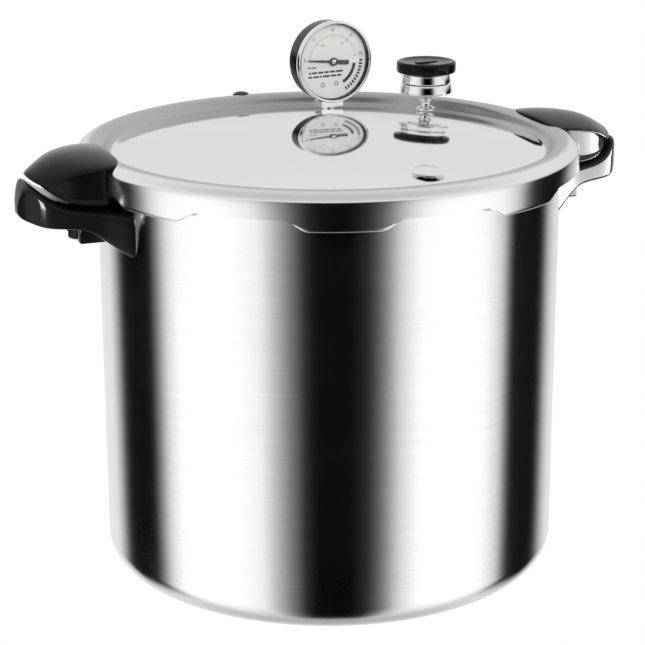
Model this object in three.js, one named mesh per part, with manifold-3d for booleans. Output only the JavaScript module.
// A stovetop pressure canner with a turn-to-lock cover, in millimetres, +Z up.
// The origin is the middle of the pot's flat bottom. The handles lie along X.
import * as THREE from "three";
import { mergeVertices } from "three/addons/utils/BufferGeometryUtils.js";
import Module from "manifold-3d";

const wasm = await Module();
wasm.setup();

// ---------- Driving dimensions ----------
const POT_R = 158;
const POT_WALL = 3;
const POT_FLOOR = 4;
const POT_CORNER = 18;
const RIM_Z = 288.8;
const ROUND = 48;

const LUGS = 8;
const LUG_PITCH = 360 / LUGS;
const LUG_OFFSET = 27.5;
const LUG_ARC = 18;
const LUG_RAMP = 2.5;

const COVER_R = 171;
const COVER_WALL = 2.6;
const DISC_R = 148;
const DISC_EDGE_Z = 290.8;
const DOME_RISE = 9.5;
const CREST_R = 159.5;
const CREST_Z = 298.7;
const SKIRT_Z = 282;
const CLAW_Z = 274.3;
const CLAW_R = 162.6;

const COVER_HANDLE_TIP = 211.5;
const BODY_HANDLE_TIP = 218.4;
const HANDLE_HALF = 39.5;
const FOOT_HALF = 47.5;

// Fittings stand at a radius and an angle from +X on the cover.
const GAUGE = { radius: 120, angle: 68.7, turn: 7.5, height: 35.4, caseR: 29, depth: 18 };
const VENT = { radius: 137, angle: 37.3, pipe: 4, bore: 1.5 };
const REGULATOR = { low: 306.4, core: 12, lower: 19.4, upper: 18.4, cap: 21.8, top: 330 };
const LOCK = { radius: 117, angle: -78, cap: 10.5, stem: 3.1 };
const PLUG = { radius: 164, angle: 92.5, head: 6.5, neck: 3.2, top: 300.4 };
const RACK = { r: 140, z: 18, sheet: 1.6, hole: 6 };

// Clear space between pieces that touch.
const GAP = 0.35;

// ---------- Finishes ----------
const FINISH = {
  aluminium: { color: 0xc9cacc, roughness: 0.28, metalness: 1 },
  polished: { color: 0xd9dadb, roughness: 0.1, metalness: 1 },
  phenolic: { color: 0x0c0c0d, roughness: 0.22, metalness: 0 },
  rubber: { color: 0x161616, roughness: 0.7, metalness: 0 },
  chrome: { color: 0xe4e5e6, roughness: 0.06, metalness: 1 },
  steel: { color: 0xaeb0b2, roughness: 0.35, metalness: 1 },
  brass: { color: 0xb8913f, roughness: 0.3, metalness: 1 },
  blackPaint: { color: 0x141415, roughness: 0.35, metalness: 0.2 },
  dialWhite: { color: 0xf2f2ee, roughness: 0.6, metalness: 0 },
  pointerGrey: { color: 0x3d3f42, roughness: 0.5, metalness: 0.1 },
  fibre: { color: 0x6d4a35, roughness: 0.8, metalness: 0 },
  glass: { color: 0xf6fafa, roughness: 0.03, metalness: 0, transparent: true, opacity: 0.3 },
};

const canner = new THREE.Group();

// Adds a named mesh to a group and returns it.
function piece(name, geometry, finish, parent = canner) {
  const mesh = new THREE.Mesh(geometry, new THREE.MeshStandardMaterial(FINISH[finish]));
  mesh.name = name;
  parent.add(mesh);
  return mesh;
}

// ---------- Helpers ----------
const rad = THREE.MathUtils.degToRad;
const v2 = (x, y) => new THREE.Vector2(x, y);

// Points of an arc about (cx, cz), from one angle to another in degrees.
function arc(cx, cz, r, from, to, steps) {
  return Array.from({ length: steps + 1 }, (_, i) => {
    const a = rad(from + ((to - from) * i) / steps);
    return v2(cx + r * Math.cos(a), cz + r * Math.sin(a));
  });
}

// A solid of revolution about Z. The outline is a list of (radius, height) points, which either
// begins and ends on the axis or closes on itself.
function turned(outline, sides = ROUND) {
  const onAxis = outline[0].x === 0 && outline.at(-1).x === 0;
  const points = THREE.ShapeUtils.isClockWise(outline) ? [...outline].reverse() : [...outline];
  if (!onAxis) points.push(points[0].clone());
  return new THREE.LatheGeometry(points, sides).rotateX(Math.PI / 2);
}

// A plan outline raised from z0 to z1.
function raised(shape, z0, z1, curveSegments = 8) {
  const options = { depth: z1 - z0, bevelEnabled: false, curveSegments };
  return new THREE.ExtrudeGeometry(shape, options).translate(0, 0, z0);
}

// A side outline in X and Z, given its width along Y about a middle.
function sideways(shape, width, middle = 0, curveSegments = 8) {
  const options = { depth: width, bevelEnabled: false, curveSegments };
  const solid = new THREE.ExtrudeGeometry(shape, options).translate(0, 0, -width / 2);
  return solid.rotateX(Math.PI / 2).translate(0, middle, 0);
}

// A part of a ring, between two angles in degrees.
function sector(r0, r1, from, to, z0, z1, steps = 6) {
  const shape = new THREE.Shape([...arc(0, 0, r1, from, to, steps), ...arc(0, 0, r0, to, from, steps)]);
  return raised(shape, z0, z1);
}

function rod(x, y, r, z0, z1, sides = 20) {
  const cylinder = new THREE.CylinderGeometry(r, r, z1 - z0, sides).rotateX(Math.PI / 2);
  return cylinder.translate(x, y, (z0 + z1) / 2);
}

function block(x0, x1, y0, y1, z0, z1) {
  const box = new THREE.BoxGeometry(x1 - x0, y1 - y0, z1 - z0);
  return box.translate((x0 + x1) / 2, (y0 + y1) / 2, (z0 + z1) / 2);
}

function toSolid(geometry) {
  const bare = new THREE.BufferGeometry().setAttribute("position", geometry.getAttribute("position"));
  if (geometry.index) bare.setIndex(geometry.index);
  const merged = mergeVertices(bare, 1e-3);
  const vertProperties = merged.attributes.position.array;
  return new wasm.Manifold(
    new wasm.Mesh({ numProp: 3, vertProperties, triVerts: new Uint32Array(merged.index.array) }),
  );
}

function toGeometry(solid) {
  const mesh = solid.getMesh();
  const geometry = new THREE.BufferGeometry();
  geometry.setAttribute("position", new THREE.BufferAttribute(mesh.vertProperties, 3));
  geometry.setIndex(new THREE.BufferAttribute(mesh.triVerts, 1));
  return geometry;
}

function join(...parts) {
  return toGeometry(parts.map(toSolid).reduce((a, b) => a.add(b)));
}

function cut(part, ...tools) {
  return toGeometry(tools.map(toSolid).reduce((a, b) => a.subtract(b), toSolid(part)));
}

function common(a, b) {
  return toGeometry(toSolid(a).intersect(toSolid(b)));
}

// Copies of a geometry, turned about Z to each of the angles.
function aboutZ(geometry, angles) {
  return angles.map((angle) => geometry.clone().rotateZ(rad(angle)));
}

// Angles in degrees, evenly round a turn.
const evenly = (count, first = 0) => Array.from({ length: count }, (_, i) => first + (360 * i) / count);

// The height of the cover's dome at a radius.
const domeZ = (r) => DISC_EDGE_Z + DOME_RISE * (1 - (r / DISC_R) ** 2);

// The X and Y of a fitting's place on the cover.
function at({ radius, angle }) {
  return [radius * Math.cos(rad(angle)), radius * Math.sin(rad(angle))];
}

const lugAngles = evenly(LUGS, LUG_OFFSET);

// ---------- Pot ----------
// Half of the bracket plate's arc, in degrees.
const BRACKET_HALF = 12;
const RIVET = { angle: 8.5, z: 256, r: 2.6, head: 4.6 };
const PLATE = { low: 246, high: 266, thick: 2.2 };
const POT_LUG = { r: 166.8, low: 278.2, high: 282.2 };
const BEAD_R = 2.2;

function rivetHole(angle) {
  const r = RIVET.r + GAP;
  const hole = new THREE.CylinderGeometry(r, r, 20, 12).rotateZ(Math.PI / 2);
  return hole.translate(POT_R, 0, RIVET.z).rotateZ(rad(angle));
}

function potShell() {
  const inner = POT_R - POT_WALL;
  const innerCorner = POT_CORNER - POT_WALL;
  const outline = [
    v2(0, 0),
    ...arc(POT_R - POT_CORNER, POT_CORNER, POT_CORNER, -90, 0, 6),
    v2(POT_R, RIM_Z - 5),
    ...arc(POT_R + 0.2, RIM_Z - BEAD_R, BEAD_R, -60, 90, 4),
    v2(inner + 0.6, RIM_Z),
    v2(inner, RIM_Z - 0.8),
    ...arc(POT_R - POT_CORNER, POT_FLOOR + innerCorner, innerCorner, 0, -90, 4),
    v2(0, POT_FLOOR),
  ];
  const { r, low, high } = POT_LUG;
  const lug = sector(POT_R - 1.5, r, -LUG_ARC / 2, LUG_ARC / 2, low, high);
  const holes = [-RIVET.angle, RIVET.angle, 180 - RIVET.angle, 180 + RIVET.angle];
  return cut(join(turned(outline), ...aboutZ(lug, lugAngles)), ...holes.map(rivetHole));
}

// Steel bracket riveted to the wall, with a tongue that the handle is screwed to.
const TONGUE_Z = 261;
const SCREW_X = 176;

function bodyBracket(grow = 0) {
  const half = BRACKET_HALF + grow / 2;
  const outer = POT_R + PLATE.thick + grow;
  const plate = sector(POT_R + GAP - grow, outer, -half, half, PLATE.low - grow, PLATE.high + grow);
  const side = 12 + grow;
  const top = TONGUE_Z + 2.5 + grow;
  const tongue = block(POT_R + 1, 187 + grow, -side, side, TONGUE_Z - grow, top);
  return join(plate, tongue);
}

// The rivet's height is 0 at the outside of the wall.
function rivet() {
  const { r, head } = RIVET;
  const inside = -POT_WALL - GAP;
  const outside = PLATE.thick + GAP;
  const outline = [
    v2(0, inside - 2.8), v2(head - 0.4, inside - 2.8), v2(head, inside - 2), v2(head, inside),
    v2(r, inside), v2(r, outside), v2(head, outside), v2(head - 0.2, outside + 0.9), v2(2.4, outside + 1.8),
    v2(0, outside + 2),
  ];
  return turned(outline, 12).rotateY(Math.PI / 2);
}

function bodyHandle() {
  const side = new THREE.Shape();
  side.moveTo(150, 269.4);
  side.lineTo(172, 270.2);
  side.splineThru([v2(186, 271.3), v2(197, 274.9), v2(205, 279.6), v2(212.6, 285.2)]);
  side.quadraticCurveTo(217.5, 276, BODY_HANDLE_TIP, 267);
  side.quadraticCurveTo(218, 262.6, 212, 260.2);
  side.splineThru([v2(203, 257.6), v2(192, 257), v2(181, 255.8), v2(173.6, 251.4)]);
  side.splineThru([v2(166, 243.6), v2(150, 233)]);
  side.lineTo(150, 269.4);
  const plan = new THREE.Shape();
  plan.moveTo(140, -FOOT_HALF);
  plan.lineTo(153, -FOOT_HALF);
  plan.splineThru([v2(163, -41), v2(174, -34.5), v2(190, -31.5), v2(203, -30)]);
  plan.splineThru([v2(213, -21), v2(217.6, -9), v2(BODY_HANDLE_TIP, 0)]);
  plan.splineThru([v2(217.6, 9), v2(213, 21), v2(203, 30)]);
  plan.splineThru([v2(190, 31.5), v2(174, 34.5), v2(163, 41), v2(153, FOOT_HALF)]);
  plan.lineTo(140, FOOT_HALF);
  const grip = common(sideways(side, 2 * FOOT_HALF + 2, 0, 3), raised(plan, 225, 295, 3));
  const ribs = [-18, 18].map((y) => block(156, 181.5, y - 4, y + 4, 244.5, 258));
  const boss = rod(SCREW_X, 0, 8, 244, 258);
  const clearR = POT_R + GAP;
  const potClear = turned([v2(0, 220), v2(clearR, 220), v2(clearR, 300), v2(0, 300)]);
  const half = BRACKET_HALF + 1;
  const rivetRoom = sector(POT_R, POT_R + 7.4, -half, half, PLATE.low + 1, PLATE.high - 1);
  const screwWay = [rod(SCREW_X, 0, 3, 243, 268, 14), rod(SCREW_X, 0, 5.4, 243, 248.5, 16)];
  return cut(join(grip, ...ribs, boss), potClear, bodyBracket(GAP), rivetRoom, ...screwWay);
}

// A pan-head screw pointing up, its head from z to z + 3.
function screw(x, z, length) {
  const head = z + 3;
  const tip = z + length;
  const outline = [
    v2(0, z), v2(3.6, z), v2(4.7, z + 1), v2(4.7, head), v2(2.4, head), v2(2.4, tip), v2(0, tip),
  ];
  const slot = block(-6, 6, -0.6, 0.6, z - 1, z + 1.2);
  return cut(turned(outline, 16), slot).translate(x, 0, 0);
}

function washer(x, y, z, inner, outer, thick) {
  const outline = [v2(inner, z), v2(outer, z), v2(outer, z + thick), v2(inner, z + thick)];
  return turned(outline, 20).translate(x, y, 0);
}

// A group for one side's handles: the right side along +X, or the left side opposite it.
function sideGroup(side) {
  const group = new THREE.Group();
  group.rotation.z = side === "right" ? 0 : Math.PI;
  canner.add(group);
  return group;
}

function addBodyHandle(side) {
  const group = sideGroup(side);
  const screwHole = rod(SCREW_X, 0, 2.7, 255, 270, 14);
  const bracket = cut(bodyBracket(), rivetHole(RIVET.angle), rivetHole(-RIVET.angle), screwHole);
  piece("body_bracket_" + side, bracket, "steel", group);
  piece("body_handle_" + side, bodyHandle(), "phenolic", group);
  piece("body_handle_screw_" + side, screw(SCREW_X, 244.3, 21.5), "steel", group);
  piece("body_handle_washer_" + side, washer(SCREW_X, 0, 247.5, 2.7, 5, 0.8), "steel", group);
  const inWall = rivet().translate(POT_R, 0, RIVET.z);
  piece(`rivet_${side}_front`, inWall.clone().rotateZ(rad(-RIVET.angle)), "aluminium", group);
  piece(`rivet_${side}_rear`, inWall.clone().rotateZ(rad(RIVET.angle)), "aluminium", group);
}

// ---------- Rack ----------
function rack() {
  const { r, z, sheet, hole } = RACK;
  const foot = POT_FLOOR + GAP;
  const outline = [
    v2(0, z - sheet), v2(r - 3, z - sheet), v2(r - sheet, foot), v2(r, foot), v2(r, z - 2), v2(r - 2, z),
    v2(0, z),
  ];
  const rings = [[0, 1], [52, 6], [102, 12]];
  const holes = rings.flatMap(([radius, count]) =>
    aboutZ(rod(radius, 0, hole, z - 5, z + 5, 8), evenly(count)),
  );
  return cut(turned(outline, 40), ...holes);
}

// ---------- Cover ----------
function coverShell() {
  const dome = (drop) => [0, 37, 74, 111, 146].map((r) => v2(r, domeZ(r) - drop));
  const top = [
    ...dome(0), v2(149.3, 291.4), v2(151.3, 293.3), v2(153.3, 296), v2(155.8, 297.9),
    v2(CREST_R, CREST_Z), v2(163, 298.3), v2(166.5, 297), v2(169.2, 295.2), v2(170.6, 293.4),
    v2(COVER_R, 291.2), v2(COVER_R, CLAW_Z),
  ];
  const inside = COVER_R - 2.7;
  const clawTop = CLAW_Z + 2.9;
  const under = [
    v2(CLAW_R, CLAW_Z), v2(CLAW_R, clawTop), v2(inside, clawTop), v2(inside, 290.6),
    v2(167.2, 292.6), v2(164, 294.4), v2(160, 295.9), v2(157.2, 295.3), v2(155.2, 293.3),
    v2(153.4, 290.4), v2(151, 288.6), v2(147, 288.2), ...dome(COVER_WALL).slice(0, -1).reverse(),
  ];
  const half = (LUG_PITCH - LUG_ARC) / 2 - LUG_RAMP / 2;
  const notch = sector(160, 175, -half, half, CLAW_Z - 2, SKIRT_Z, 4);
  const notches = aboutZ(notch, lugAngles.map((a) => a + LUG_PITCH / 2));
  const holeSizes = [[GAUGE, 5.4], [VENT, 5.4], [LOCK, 5.1], [PLUG, PLUG.neck + 0.5]];
  const holes = holeSizes.map(([place, r]) => rod(...at(place), r, 280, 310, 16));
  return cut(turned([...top, ...under]), ...notches, ...holes);
}

function sealingRing() {
  const outline = [
    v2(156, 289.3), v2(161.2, 289.3), v2(162.6, 285), v2(167.4, 285), v2(167.4, 290.3), v2(160, 294.9),
    v2(156, 292.6),
  ];
  return turned(outline);
}

const COVER_SCREW_X = 184;
const COVER_TONGUE_Z = 284.6;

// Steel bracket welded to the skirt, with a tongue that the handle is screwed to.
function coverBracket(grow = 0) {
  const half = 6 + grow / 3;
  const outer = COVER_R + PLATE.thick + grow;
  const plate = sector(COVER_R + GAP - grow, outer, -half, half, 283.2 - grow, 290.6 + grow, 3);
  const side = 11 + grow;
  const top = COVER_TONGUE_Z + 2.5 + grow;
  const tongue = block(COVER_R + 1, 196 + grow, -side, side, COVER_TONGUE_Z - grow, top);
  return join(plate, tongue);
}

// The cover's outside, a little larger. What sits on the crest is hollowed by it.
function coverRoom() {
  const outline = [
    v2(0, 268), v2(COVER_R + GAP, 268), v2(COVER_R + GAP, 291.4), v2(170.9, 293.7), v2(169.4, 295.6),
    v2(166.6, 297.4), v2(163, 298.7), v2(CREST_R, 299.1), v2(0, 299.1),
  ];
  return turned(outline);
}

function coverHandle() {
  const side = new THREE.Shape();
  side.moveTo(165, 273.8);
  side.lineTo(172, 273.8);
  side.splineThru([v2(186, 274.7), v2(197, 278.4), v2(205, 283.4), v2(210.6, 288)]);
  side.quadraticCurveTo(COVER_HANDLE_TIP, 289.6, 210, 291.4);
  side.splineThru([v2(203.5, 295.6), v2(193, 300.2), v2(181, 302.4), v2(169, 302.9)]);
  side.splineThru([v2(161, 302.2), v2(157, 301.4)]);
  side.quadraticCurveTo(154.6, 300.4, 155, 298.4);
  side.lineTo(165, 290);
  side.lineTo(165, 273.8);
  const plan = new THREE.Shape();
  plan.moveTo(160.5, -37.4);
  plan.splineThru([v2(166, -39.2), v2(172, -HANDLE_HALF), v2(187, -36.4), v2(200, -29)]);
  plan.splineThru([v2(207.5, -19), v2(210.8, -8), v2(COVER_HANDLE_TIP, 0)]);
  plan.splineThru([v2(210.8, 8), v2(207.5, 19), v2(200, 29)]);
  plan.splineThru([v2(187, 36.4), v2(172, HANDLE_HALF), v2(166, 39.2), v2(160.5, 37.4)]);
  plan.quadraticCurveTo(155.4, 34, 155, 24);
  plan.lineTo(155, -24);
  plan.quadraticCurveTo(155.4, -34, 160.5, -37.4);
  const grip = common(sideways(side, 2 * HANDLE_HALF + 4, 0, 3), raised(plan, 265, 315, 3));
  const x = COVER_SCREW_X;
  const screwWay = [rod(x, 0, 3, 270, 294, 14), rod(x, 0, 5.4, 270, 278.6, 16)];
  return cut(grip, coverRoom(), coverBracket(GAP), ...screwWay);
}

function addCoverHandle(side) {
  const group = sideGroup(side);
  const x = COVER_SCREW_X;
  const bracket = cut(coverBracket(), rod(x, 0, 2.7, 280, 292, 14));
  piece("cover_bracket_" + side, bracket, "steel", group);
  piece("cover_handle_" + side, coverHandle(), "phenolic", group);
  piece("cover_handle_screw_" + side, screw(x, 274.4, 18), "steel", group);
  piece("cover_handle_washer_" + side, washer(x, 0, 277.6, 2.7, 5, 0.7), "steel", group);
}

// ---------- Vent pipe and pressure regulator ----------
// A hexagonal nut, its thread a plain hole.
function hexNut(place, acrossFlats, hole, z0, z1) {
  const [x, y] = at(place);
  const nut = rod(0, 0, acrossFlats / Math.sqrt(3), z0, z1, 6);
  return cut(nut, rod(0, 0, hole, z0 - 1, z1 + 1, 16)).translate(x, y, 0);
}

function addVent() {
  const [x, y] = at(VENT);
  const seat = domeZ(VENT.radius) + 1.1;
  const { pipe, bore } = VENT;
  const bead = pipe + 1.2;
  const outline = [
    v2(bore, 280.5), v2(5, 280.5), v2(5, seat), v2(7, seat), v2(7, seat + 1.6), v2(pipe, seat + 3),
    v2(pipe, seat + 6), v2(bead, seat + 7.2), v2(bead, seat + 9), v2(pipe, seat + 10.2),
    v2(pipe, seat + 18), v2(bore, seat + 19.4),
  ];
  piece("vent_pipe", turned(outline, 16).translate(x, y, 0), "chrome");
  piece("vent_washer", washer(x, y, 286.4, 5.3, 8.6, 1.2), "fibre");
  piece("vent_nut", hexNut(VENT, 15, 5.3, 282, 286), "steel");
}

// The regulator is a core that caps the pipe, two loose rings round it, and a cap that holds them.
function addRegulator() {
  const [x, y] = at(VENT);
  const { low, core, lower, upper, cap, top } = REGULATOR;
  const pocket = VENT.pipe + 0.6;
  const inner = core + 0.4;
  const coreOutline = [
    v2(0, 314), v2(pocket, 314), v2(pocket, low), v2(core - 3, low), v2(core, low + 1), v2(core, 321),
    v2(0, 321),
  ];
  piece("regulator_core", turned(coreOutline, 24).translate(x, y, 0), "chrome");
  const lowerOutline = [
    v2(inner, low), v2(lower - 0.2, low), v2(lower, low + 0.8), v2(lower - 0.8, 313.2),
    v2(lower - 1.2, 313.6), v2(inner, 313.6),
  ];
  piece("regulator_ring_lower", turned(lowerOutline, 28).translate(x, y, 0), "chrome");
  const upperOutline = [
    v2(inner, 314), v2(upper - 0.4, 314), v2(upper, 314.5), v2(upper - 1.1, 320.8), v2(inner, 320.8),
  ];
  piece("regulator_ring_upper", turned(upperOutline, 28).translate(x, y, 0), "chrome");
  const edge = 2.4;
  const capOutline = [
    v2(0, 321.4), v2(cap - 1.2, 321.4), v2(cap, 322.6), v2(cap, 327.4),
    ...arc(cap - edge, top - edge, edge, 0, 90, 4), v2(cap - 4.8, top - 0.3), v2(12, top - 1),
    v2(0, top - 1.3),
  ];
  piece("regulator_cap", turned(capOutline, 28).translate(x, y, 0), "phenolic");
}

// ---------- Cover lock and overpressure plug ----------
function addLock() {
  const [x, y] = at(LOCK);
  const top = domeZ(LOCK.radius - LOCK.cap) + 0.5;
  const bush = [
    v2(3.6, 283.5), v2(8.4, 283.5), v2(8.4, 285.4), v2(4.7, 285.4), v2(4.7, top - 0.3),
    v2(3.6, top - 0.3),
  ];
  piece("lock_bush", turned(bush, 16).translate(x, y, 0), "steel");
  piece("lock_gasket", washer(x, y, 285.7, 5, 8.4, 2.4), "rubber");
  const pin = [
    v2(0, 278.4), v2(5, 278.4), v2(5, 280), v2(LOCK.stem, 280), v2(LOCK.stem, top), v2(LOCK.cap, top),
    v2(LOCK.cap, top + 0.9), v2(LOCK.cap - 1, top + 1.4), v2(0, top + 1.8),
  ];
  piece("lock_pin", turned(pin, 20).translate(x, y, 0), "aluminium");
}

// A rubber plug whose domed head sits on the crest, shaped to it underneath.
function addPlug() {
  const [x, y] = at(PLUG);
  const { head, neck, top } = PLUG;
  const domeOutline = [
    v2(0, 292), v2(head, 292), v2(head, top - 2.8), v2(head - 0.9, top - 1.4), v2(head - 2.6, top - 0.5),
    v2(0, top),
  ];
  const cap = cut(turned(domeOutline, 20).translate(x, y, 0), coverRoom());
  piece("overpressure_plug", join(cap, rod(x, y, neck, 295.2, top - 1.2, 14)), "rubber");
}

// ---------- Dial gauge ----------
// Its own frame has the case's axis along Y, the dial facing -Y, and the cover's surface at z = 0.
const CENTRE = GAUGE.height;
const SECTOR_AT = [9.9, -9.9];
const PINION_TEETH = 10;
const SECTOR_TEETH = 60;
const PINION_R = 2;
const SECTOR_R = 12;

// Turns a solid made about Z so that its height points out of the dial, at the case's centre.
const facing = (geometry) => geometry.rotateX(Math.PI / 2).translate(0, 0, CENTRE);

// A toothed edge from a first tooth on, four points for each tooth, with backlash between teeth.
const TOOTH = { outside: 0.3, inside: 0.44, tipShare: 0.13, rootShare: 0.28 };

function teeth(r, pitch, first, count) {
  const { outside, inside, tipShare, rootShare } = TOOTH;
  return Array.from({ length: count }, (_, i) => {
    const middle = first + i * pitch;
    const point = (radius, share) => {
      const a = rad(middle + share * pitch);
      return v2(radius * Math.cos(a), radius * Math.sin(a));
    };
    return [
      point(r - inside, -rootShare), point(r + outside, -tipShare),
      point(r + outside, tipShare), point(r - inside, rootShare),
    ];
  }).flat();
}

// At nought the pointer lies a little above the level line through the dial's middle.
const POINTER_REST = 6;

function pointer() {
  const shape = new THREE.Shape([
    v2(-20.5, -0.25), v2(-3, -0.9), ...arc(0, 0, 3.1, -163, -25, 6), v2(11.5, -1.7),
    v2(11.5, 1.7), ...arc(0, 0, 3.1, 25, 163, 6), v2(-3, 0.9), v2(-20.5, 0.25),
  ]);
  return facing(raised(shape, 7.1, 7.7).rotateZ(-rad(POINTER_REST)));
}

function pinionArbor() {
  const pitch = 360 / PINION_TEETH;
  const wheel = raised(new THREE.Shape(teeth(PINION_R, pitch, 135 + pitch / 2, PINION_TEETH)), -0.9, 0.9);
  return facing(join(wheel, rod(0, 0, 0.9, -5, 6.8, 12)));
}

function sectorGear() {
  const pitch = 360 / SECTOR_TEETH;
  const count = 9;
  const arcTeeth = teeth(SECTOR_R, pitch, 135 - pitch * (count - 2), count);
  const last = rad(135 + pitch * 1.6);
  const first = rad(135 - pitch * (count - 1.4));
  const hub = arc(0, 0, 2.4, 150, 350, 8);
  const shape = new THREE.Shape([
    v2((SECTOR_R - 2) * Math.cos(first), (SECTOR_R - 2) * Math.sin(first)),
    ...arcTeeth,
    v2((SECTOR_R - 2) * Math.cos(last), (SECTOR_R - 2) * Math.sin(last)),
    ...hub,
  ]);
  const tail = block(-1.2, 1.2, -6.5, 0, -0.7, 0.7).rotateZ(rad(20));
  const wheel = join(raised(shape, -0.7, 0.7), tail, rod(0, 0, 1, -4, 4.2, 12));
  return facing(wheel.translate(SECTOR_AT[0], SECTOR_AT[1], 0));
}

function movementPlate(h) {
  const shape = new THREE.Shape([v2(-9, -15), v2(14, -16), v2(17, -6), v2(12, 6), v2(-6, 8), v2(-11, 0)]);
  const plate = raised(shape, h, h + 1);
  const holes = [rod(0, 0, 1.25, h - 1, h + 2, 12), rod(...SECTOR_AT, 1.35, h - 1, h + 2, 12)];
  return facing(cut(plate, ...holes));
}

// The curved, flattened tube that uncoils as the pressure rises.
function bourdonTube() {
  const thin = 0.9;
  const wide = 2.6;
  const section = new THREE.Shape([v2(-wide, -thin), v2(wide, -thin), v2(wide, thin), v2(-wide, thin)]);
  const points = arc(0, 0, 22, 245, 20, 18).map((p) => new THREE.Vector3(p.x, p.y, 0));
  const tube = new THREE.ExtrudeGeometry(section, {
    steps: 22, bevelEnabled: false, extrudePath: new THREE.CatmullRomCurve3(points),
  });
  return facing(tube);
}

function addGauge() {
  const group = new THREE.Group();
  const [x, y] = at(GAUGE);
  group.position.set(x, y, domeZ(GAUGE.radius));
  group.rotation.z = rad(GAUGE.turn);
  canner.add(group);
  addGaugeCase(group);
  addMovement(group);
  addGaugeStem(group);
}

function addGaugeCase(group) {
  const { caseR, depth } = GAUGE;
  const back = -depth / 2 - 0.5;
  const front = depth / 2 - 0.5;
  const caseOutline = [
    v2(0, back), ...arc(caseR - 3, back + 3, 3, -90, 0, 4), v2(caseR, front), v2(caseR - 1.4, front),
    v2(caseR - 1.4, back + 2.2), v2(caseR - 2.2, back + 1.4), v2(0, back + 1.4),
  ];
  const neckHole = rod(0, 0, 4.9, 0, CENTRE - caseR + 8, 16);
  piece("gauge_case", cut(facing(turned(caseOutline, 32)), neckHole), "blackPaint", group);
  const rim = caseR + 1;
  const lip = caseR + GAP;
  const bezelOutline = [
    v2(lip, front - 3), v2(rim, front - 3), v2(rim, front + 1.4), v2(rim - 0.6, front + 2.2),
    v2(caseR - 0.8, front + 2.2), v2(caseR - 1.1, front + 1.6), v2(lip, front + 1.4),
  ];
  piece("gauge_bezel", facing(turned(bezelOutline, 32)), "chrome", group);
  const lensOutline = [
    v2(0, front + 0.3), v2(caseR, front + 0.3), v2(caseR, front + 1.1), v2(0, front + 1.4),
  ];
  piece("gauge_lens", facing(turned(lensOutline, 32)), "glass", group);
  const dial = cut(rod(0, 0, caseR - 1.9, 5.6, 6.2, 32), rod(0, 0, 1.4, 5, 7, 12));
  piece("gauge_dial", facing(dial), "dialWhite", group);
}

function addMovement(group) {
  piece("gauge_pointer", pointer(), "pointerGrey", group);
  piece("pinion_arbor", pinionArbor(), "brass", group);
  piece("sector_gear", sectorGear(), "brass", group);
  piece("movement_plate_rear", movementPlate(-4.6), "brass", group);
  piece("movement_plate_front", movementPlate(3.4), "brass", group);
  for (const [name, px, pz] of [["a", -5, -13], ["b", -6, 4]]) {
    piece("movement_post_" + name, facing(rod(px, pz, 1.3, -3.3, 3.1, 12)), "brass", group);
  }
  piece("bourdon_tube", bourdonTube(), "brass", group);
}

// The stem holds the case up, and a thread below it goes through the cover.
function addGaugeStem(group) {
  const base = 1.6;
  const body = block(-9, 9, -5.2, 5.2, base, CENTRE - 29.4);
  const neck = rod(0, 0, 4.5, CENTRE - 31, CENTRE - 25.5, 16);
  const shank = rod(0, 0, 5, -12.5, base + 1, 16);
  const passage = rod(0, 0, 1.2, -14, CENTRE - 27, 10);
  piece("gauge_stem", cut(join(body, neck, shank), passage), "chrome", group);
  piece("gauge_washer", washer(0, 0, -7.4, 5.3, 8.8, 1.4), "fibre", group);
  const nut = cut(rod(0, 0, 15 / Math.sqrt(3), -11.8, -7.8, 6), rod(0, 0, 5.3, -13, -6, 16));
  piece("gauge_nut", nut, "steel", group);
}

piece("pot_shell", potShell(), "aluminium");
piece("canning_rack", rack(), "aluminium");
piece("cover_shell", coverShell(), "polished");
piece("sealing_ring", sealingRing(), "rubber");
for (const side of ["right", "left"]) {
  addBodyHandle(side);
  addCoverHandle(side);
}
addVent();
addRegulator();
addLock();
addPlug();
addGauge();

export default canner;
